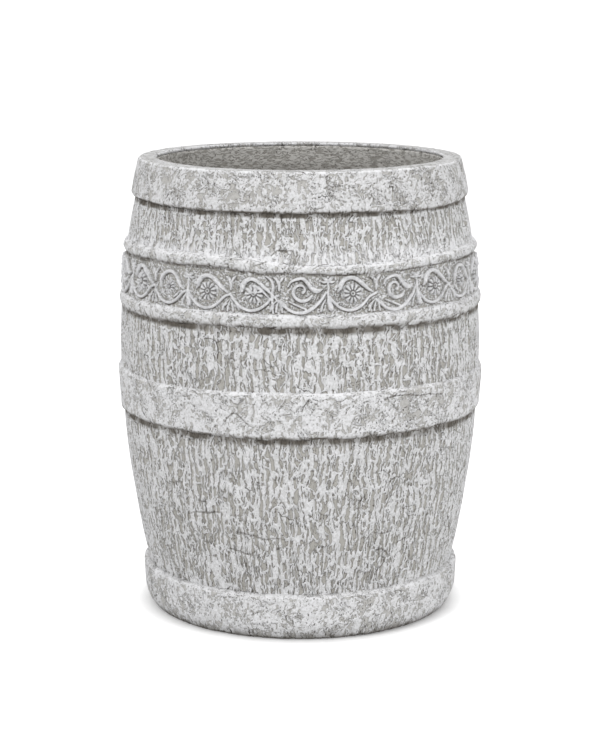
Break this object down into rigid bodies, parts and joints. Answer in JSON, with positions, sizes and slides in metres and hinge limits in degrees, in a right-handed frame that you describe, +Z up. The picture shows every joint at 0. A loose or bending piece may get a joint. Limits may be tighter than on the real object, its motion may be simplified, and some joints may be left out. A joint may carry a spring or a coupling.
{
  "type": "barrel planter",
  "caption": "Barrel-shaped cast concrete floor planter with a battered rim, hoops, a vine-scroll frieze, belly and foot bands, and a lift-out rubber drain plug.",
  "frame": {"origin": "centre of the foot's footprint on the ground", "axes": "+Z up along the barrel's axis, -Y towards the side the picture shows, +X to that side's right"},
  "size_m": [0.422, 0.422, 0.52],
  "materials": {
    "cast_concrete_washed": "cast concrete with a dry-brushed white wash",
    "cast_concrete_bark": "cast concrete, bark-like relief with a dry-brushed white wash",
    "cast_concrete_plain": "plain trowelled concrete",
    "moulded_rubber": "matt black moulded rubber"
  },
  "bodies": {
    "casting": {"rim_collar": "cast_concrete_washed", "upper_wall": "cast_concrete_bark", "upper_hoop": "cast_concrete_washed", "frieze_vine": "cast_concrete_washed", "frieze_rosettes": "cast_concrete_washed", "lower_hoop": "cast_concrete_washed", "middle_wall": "cast_concrete_bark", "belly_band": "cast_concrete_washed", "lower_wall": "cast_concrete_bark", "foot_ring": "cast_concrete_washed", "floor_slab": "cast_concrete_plain"},
    "plug": {"drain_plug": "moulded_rubber"}
  },
  "joints": [
    {"name": "plug_lift", "type": "slide", "parent": "casting", "child": "plug", "axis": [0, 0, 1], "range_m": [0, 0.53]}
  ]
}
